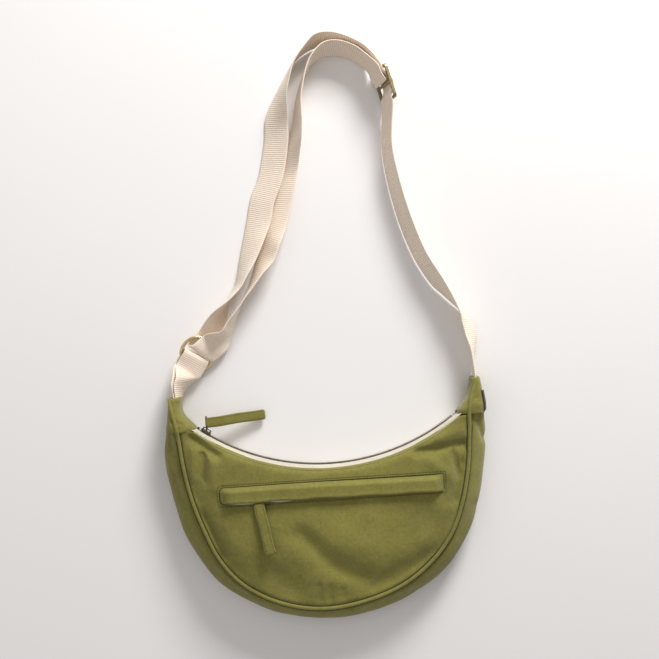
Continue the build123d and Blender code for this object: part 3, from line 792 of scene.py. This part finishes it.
class BAG_OT_seams(bpy.types.Operator):
    """Seam ridges between the panels and the gusset, and the rows of topstitching"""

    bl_idname = "bag.seams"
    bl_label = "Seams and topstitching"

    def execute(self, context):
        caps = {side: cloth_of(bpy.data.objects[f"canvas_{side}_cap"]) for side in ("left", "right")}
        over_caps = {
            "left": [(-158.0, -65), (-156.8, -72), (-155.2, -81), (-153, -90), (-151.6, -98)],
            "right": [(150.6, -98), (152.6, -90), (155.2, -81), (158.2, -72), (160.6, -64)],
        }
        risen = {}
        for side, points in over_caps.items():
            found = [drop(caps[side], x, y, 0.7) for x, y in points]
            risen[side] = [tuple(place / MM) for place, _ in found]
        between = [(x, y, FRONT_SEAM_HEIGHT) for x, y in FRONT_SEAM[1:-1]]
        ridge = risen["left"] + between + risen["right"]
        hem = [(x, y, 2.7) for x, y in BACK_SEAM]
        for name, points, radius, node in [
            ("front_seam_ridge", ridge, 2.0, "front_piping"),
            ("back_seam_ridge", hem, 1.5, "back_piping"),
        ]:
            bm = bmesh.new()
            line = Line(points)
            surface(bm, 10, 260, tube(line, radius, flat=0.9), closed=True)
            scale_uv(bm, 0.011, line.length * MM)
            finish_piece(name, bm, material("bag_canvas"), "bag", [node], levels=1)
        cloth = cloth_of(bpy.data.objects["canvas_front_panel"])
        # Painted shade: dark tubes on either side of the front seam, where the groove falls into shadow.
        for name, side in (("groove_painted_shade_inside", -2.5), ("groove_painted_shade_outside", 2.5)):
            groove = []
            for i in range(61):
                share = 0.03 + 0.94 * i / 60
                out = SEAM.along(share).cross(UP).normalized()
                outward = -1 if out.y > 0 else 1
                groove.append(SEAM.at(share) + out * side * outward + UP * GROOVE_SHADE_HEIGHT)
            bm = bmesh.new()
            surface(bm, 6, 240, tube(Line(groove, 4), 0.6), closed=True)
            finish_piece(name, bm, material("bag_painted_fold_shade"))
        bm = bmesh.new()
        arc = [zip_arc(0.004 + 0.992 * i / 80, ZIP_STITCH_RADIUS, 0).xy for i in range(81)]
        stitches(bm, sewn_line(cloth, arc), 2.9, 1.9, 0.8, 0.5)
        finish_piece("zip_topstitching", bm, material("bag_thread"))
        return {"FINISHED"}


class BAG_OT_caps(bpy.types.Operator):
    """The two sleeves that hold the strap, and the blank side label"""

    bl_idname = "bag.caps"
    bl_label = "Corner caps and label"

    def execute(self, context):
        for name, stations, node in [
            ("canvas_left_cap", LEFT_CAP, "left_corner_cap"),
            ("canvas_right_cap", RIGHT_CAP, "right_corner_cap"),
        ]:
            bm = bmesh.new()
            surface(bm, 64, 36, cap_place(stations), closed=True)
            scale_uv(bm, 0.1, 0.04)
            finish_piece(name, bm, material("bag_canvas"), "bag", [node], levels=1)
        cap = cloth_of(bpy.data.objects["canvas_right_cap"])
        slant = Vector((-0.8, 0, -0.6))

        def place(u, v):
            y = -77 - 21 * u
            across = Vector((166.2 + 2.0 * u, y, 31.5)) + Vector((0.6, 0, -0.8)) * 11 * (v - 0.5)
            found = landing(cap, (across - slant * 60) * MM, slant, 0.6)
            return (found[0] if found else across * MM) / MM

        bm = bmesh.new()
        surface(bm, 20, 12, place)
        facing(bm, (1, 0, 1))
        finish_piece(
            "blank_side_label", bm, material("bag_label"), "bag", ["side_label"],
            wall=0.8, wall_side=1, levels=1,
        )
        return {"FINISHED"}


class BAG_OT_main_zip(bpy.types.Operator):
    """Tapes and teeth of the curved top zip"""

    bl_idname = "bag.main_zip"
    bl_label = "Main zip"

    def execute(self, context):
        rows = [("front", 21.0, 36.5, 20.2, (0, 1, 0.3)), ("back", 16.0, 1.8, 16.8, (0, 1, -0.3))]
        for name, inner_z, outer_z, teeth_z, faces in rows:
            bm = bmesh.new()

            def place(u, v):
                wavy = 0.25 * noise.noise(Vector((u * 14, v, inner_z))) * sin(pi * v)
                radius = TAPE_RADIUS + 1.9 * v + wavy * 0.5
                # A little longer than the arc, so that both ends run into the caps.
                return zip_arc(1.06 * u - 0.03, radius, inner_z + (outer_z - inner_z) * v)

            surface(bm, 120, 6, place)
            facing(bm, faces)
            scale_uv(bm, 0.29, 0.02)
            finish_piece(
                f"zip_tape_{name}", bm, material("bag_tape"), "bag", [f"main_zip_tape_{name}"],
                wall=0.7, levels=1,
            )
            bm = bmesh.new()
            count = 146
            for i in range(count):
                share = 0.012 + 0.976 * (i + (0.5 if name == "back" else 0)) / count
                turn = ZIP_LEFT + (ZIP_RIGHT - ZIP_LEFT) * share
                seat = Matrix.Translation(zip_arc(share, TEETH_RADIUS, teeth_z) * MM)
                tooth = seat @ Matrix.Rotation(turn, 4, "Z")
                size = Matrix.Diagonal((1.0 * MM, 2.6 * MM, 2.0 * MM, 1))
                bmesh.ops.create_cube(bm, size=1.0, matrix=tooth @ size)
            bmesh.ops.bevel(
                bm, geom=bm.edges[:], offset=0.22 * MM, segments=1, profile=0.5, affect="EDGES", material=-1
            )
            finish_piece(
                f"zip_teeth_{name}", bm, material("bag_zip_metal"), "bag",
                [f"main_zip_teeth_{name}"],
            )
        return {"FINISHED"}


class BAG_OT_pocket(bpy.types.Operator):
    """Welt of the front pocket, its box of stitches and the edge of zip tape under it"""

    bl_idname = "bag.pocket"
    bl_label = "Front pocket"

    def execute(self, context):
        panel = cloth_of(bpy.data.objects["canvas_front_panel"])

        def welt(u, v):
            x = WELT_LEFT + (WELT_RIGHT - WELT_LEFT) * u
            from_end = min(x - WELT_LEFT, WELT_RIGHT - x)
            left = max(WELT_CORNER - (x - WELT_LEFT), 0)
            inset = WELT_CORNER - sqrt(max(WELT_CORNER**2 - left**2, 0))
            y = -159 + 0.5 * sin(u * 5.2) - 17 * v
            y = -167.5 + (y + 167.5) * (1 - inset / (2 * WELT_CORNER))
            y += 0.35 * sin(u * 31) * v
            sewn, _ = drop(panel, x, y, 1.4)
            low = sewn.z / MM
            raised = smooth(v / 0.3) * smooth(from_end / 10)
            lip = 0.45 * exp(-(((v - 0.9) / 0.1) ** 2)) - 0.9 * smooth((v - 0.9) / 0.1)
            return x, y, low + (WELT_TOP - low) * raised + lip * raised + ripple(x, y, 20, 0.3, 1.0)

        bm = bmesh.new()
        surface(bm, 150, 14, welt)
        facing(bm, (0, 0, 1))
        scale_uv(bm, 0.23, 0.017)
        finish_piece(
            "pocket_welt_canvas", bm, material("bag_canvas"), "bag", ["pocket_welt"],
            wall=1.2, levels=1,
        )
        bm = bmesh.new()
        box = [(-108, -156.4), (-112.4, -157.4), (-113.8, -161), (-113.8, -174), (-112.4, -177.6)]
        box += [(-108, -178.8), (0, -178.6), (121.4, -178.6), (121.4, -156.4), (0, -156.4), (-108, -156.4)]
        stitches(bm, sewn_line(panel, box), wide=1.0)
        finish_piece("welt_topstitching", bm, material("bag_thread"))
        # Painted shade: a dark tube round the welt's top and ends, where the welt throws its shadow on the
        # panel.
        rim = [(-104, -176.4), (-108, -176.2), (-111.2, -173), (-111.4, -162), (-108, -158.9)]
        rim += [(-60, -158.4), (0, -158.4), (60, -158.6), (119.2, -158.8), (119.4, -168), (119.2, -176.2)]
        painted_fold_shade_lines("welt_painted_fold_shade", panel, [rim])

        def tape(u, v):
            x = -104 + 219 * u
            show = 1.5 * exp(-(((x + 84) / 14.0) ** 2)) + 1.2 * exp(-(((x + 48) / 12.0) ** 2))
            return x, -171.5 - (4.2 + show) * v, 47.4 + 0.5 * sin(pi * v)

        bm = bmesh.new()
        surface(bm, 80, 5, tape)
        facing(bm, (0, 0, 1))
        scale_uv(bm, 0.22, 0.006)
        finish_piece(
            "pocket_tape_lower", bm, material("bag_tape"), "bag", ["pocket_zip_tape_lower"],
            wall=0.5, levels=1,
        )
        return {"FINISHED"}


class BAG_OT_pulls(bpy.types.Operator):
    """The two canvas zip pulls"""

    bl_idname = "bag.pulls"
    bl_label = "Canvas zip pulls"

    def execute(self, context):
        main = [(-123.6, -92.8, 22.6), (-104, -91.8, 17.2), (-84, -90.4, 10.6), (-61.6, -88.9, 4.2)]
        pull_tab("main_canvas_pull", main, "main_tab", "main_pull_tab", 10.8, 3.0)
        pocket = [(-71.6, -176.6, 49.6), (-68.6, -194, 51.0), (-65.4, -212, 52.0), (-62.0, -228.8, 52.8)]
        pull_tab("pocket_canvas_pull", pocket, "pocket_tab", "pocket_pull_tab", 11.0, 2.8)
        return {"FINISHED"}


class BAG_OT_strap(bpy.types.Operator):
    """The shoulder strap and the short tab that holds the ring"""

    bl_idname = "bag.strap"
    bl_label = "Webbing strap"

    def execute(self, context):
        webbing("webbing_strap", strap_stations(), "shoulder_strap", 560, "laid")
        loop = tab_ply(1) + round_ring(-1, 8.0, 5.2, 21.0) + tab_ply(-1)[::-1]
        webbing("webbing_ring_tab", loop, "ring_tab", 110, "folded")
        return {"FINISHED"}


class BAG_OT_hardware(bpy.types.Operator):
    """Finishes of the ring, the adjuster, the sliders and the other parts that keep their shape"""

    bl_idname = "bag.hardware"
    bl_label = "Metal and hidden parts"

    def execute(self, context):
        finishes = {
            "bag_brass": ["o_ring"],
            "bag_antique_brass": ["strap_adjuster"],
            "bag_dark_metal": [
                "main_slider", "main_pull_link", "main_zip_stops", "pocket_slider", "pocket_pull_link",
                "pocket_zip_stops", "pocket_zip_teeth_upper", "pocket_zip_teeth_lower",
            ],
            "bag_lining": ["pocket_bag"],
            "bag_tape_flat": ["pocket_zip_tape_upper"],
        }
        for name, nodes in finishes.items():
            for node in nodes:
                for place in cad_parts[node].material_slots:
                    place.material = material(name)
        return {"FINISHED"}


class BAG_OT_stage(bpy.types.Operator):
    """Pale floor, soft studio light and the camera above the bag"""

    bl_idname = "bag.stage"
    bl_label = "Stage"

    def execute(self, context):
        scene = context.scene
        look = scene.bag_sizes
        floor_mesh = bpy.data.meshes.new("floor")
        bm = bmesh.new()
        bmesh.ops.create_grid(bm, x_segments=4, y_segments=4, size=FLOOR_SIZE)
        bm.to_mesh(floor_mesh)
        bm.free()
        floor = bpy.data.objects.new("floor", floor_mesh)
        floor.location.z = -FLOOR_DROP
        scene.collection.objects.link(floor)
        paper = Finish("stage_paper", Roughness=0.9, Specular_IOR_Level=0.15)
        grain = paper.noise(3.0, 2.0)
        paper.feed(Base_Color=paper.mix(grain, rgba((0.86, 0.85, 0.85)), rgba((0.9, 0.895, 0.9))))
        floor_mesh.materials.append(paper.material)
        for name, place, size, power, colour in [
            ("key", (0.7, 1.6, 0.9), 0.6, 43.0, (1.0, 0.985, 0.965)),
            ("fill", (-0.9, 0.2, 1.5), 1.6, 3.0, (1.0, 0.98, 0.96)),
        ]:
            light = bpy.data.lights.new(name, "AREA")
            light.energy, light.size, light.color = power, size, colour
            lamp = bpy.data.objects.new(name, light)
            lamp.location = place
            towards_bag = Vector((0, -0.02, 0)) - Vector(place)
            lamp.rotation_euler = towards_bag.to_track_quat("-Z", "Y").to_euler()
            scene.collection.objects.link(lamp)
        world = bpy.data.worlds.new("studio")
        world.use_nodes = True
        world.node_tree.nodes["Background"].inputs["Color"].default_value = (1.0, 0.965, 0.945, 1)
        world.node_tree.nodes["Background"].inputs["Strength"].default_value = 0.42
        scene.world = world
        scene.view_settings.view_transform = "Standard"
        lens = bpy.data.cameras.new("camera")
        lens.sensor_fit = "HORIZONTAL"
        lens.angle = 2 * atan(HALF_VIEW / look.camera_height)
        camera = bpy.data.objects.new("camera", lens)
        camera.location = (CAMERA_X, CAMERA_Y, look.camera_height)
        camera.rotation_euler = (0, 0, CAMERA_TURN)
        scene.collection.objects.link(camera)
        scene.camera = camera
        return {"FINISHED"}


class BagSizes(bpy.types.PropertyGroup):
    """Sizes that can be changed before the bag is built"""

    camera_height: bpy.props.FloatProperty(
        name="Camera height",
        description="Height of the camera above the floor",
        default=1.2,
        unit="LENGTH",
    )


class BagColours(bpy.types.PropertyGroup):
    """Colours of the cloths"""

    canvas: bpy.props.FloatVectorProperty(
        name="Canvas",
        description="Olive of the washed canvas",
        default=(0.215, 0.198, 0.046),
        subtype="COLOR",
    )
    webbing: bpy.props.FloatVectorProperty(
        name="Webbing",
        description="Cream of the strap webbing",
        default=(0.89, 0.765, 0.635),
        subtype="COLOR",
    )
    zip_tape: bpy.props.FloatVectorProperty(
        name="Zip tape",
        description="Cream of the zip tapes",
        default=(0.8, 0.75, 0.62),
        subtype="COLOR",
    )
    label: bpy.props.FloatVectorProperty(
        name="Label",
        description="Dark blue of the blank side label",
        default=(0.012, 0.014, 0.024),
        subtype="COLOR",
    )


STEPS = [
    BAG_OT_stage, BAG_OT_shell, BAG_OT_caps, BAG_OT_seams, BAG_OT_main_zip, BAG_OT_pocket, BAG_OT_pulls,
    BAG_OT_strap, BAG_OT_hardware,
]


class BAG_PT_panel(bpy.types.Panel):
    """Sizes, colours and steps of the bag in the sidebar"""

    bl_idname = "BAG_PT_panel"
    bl_label = "Canvas bag"
    bl_space_type = "VIEW_3D"
    bl_region_type = "UI"
    bl_category = "Bag"

    def draw(self, context):
        self.layout.prop(context.scene.bag_sizes, "camera_height")
        for name in ("canvas", "webbing", "zip_tape", "label"):
            self.layout.prop(context.scene.bag_colours, name)
        for step in STEPS:
            self.layout.operator(step.bl_idname)


CLASSES = [BagSizes, BagColours, *STEPS, BAG_PT_panel]


def register():
    for item in CLASSES:
        bpy.utils.register_class(item)
    bpy.types.Scene.bag_sizes = bpy.props.PointerProperty(type=BagSizes)
    bpy.types.Scene.bag_colours = bpy.props.PointerProperty(type=BagColours)


def unregister():
    del bpy.types.Scene.bag_colours
    del bpy.types.Scene.bag_sizes
    for item in reversed(CLASSES):
        bpy.utils.unregister_class(item)


def main():
    register()
    for step in STEPS:
        group, name = step.bl_idname.split(".")
        getattr(getattr(bpy.ops, group), name)()
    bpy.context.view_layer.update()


if __name__ == "__main__":
    main()
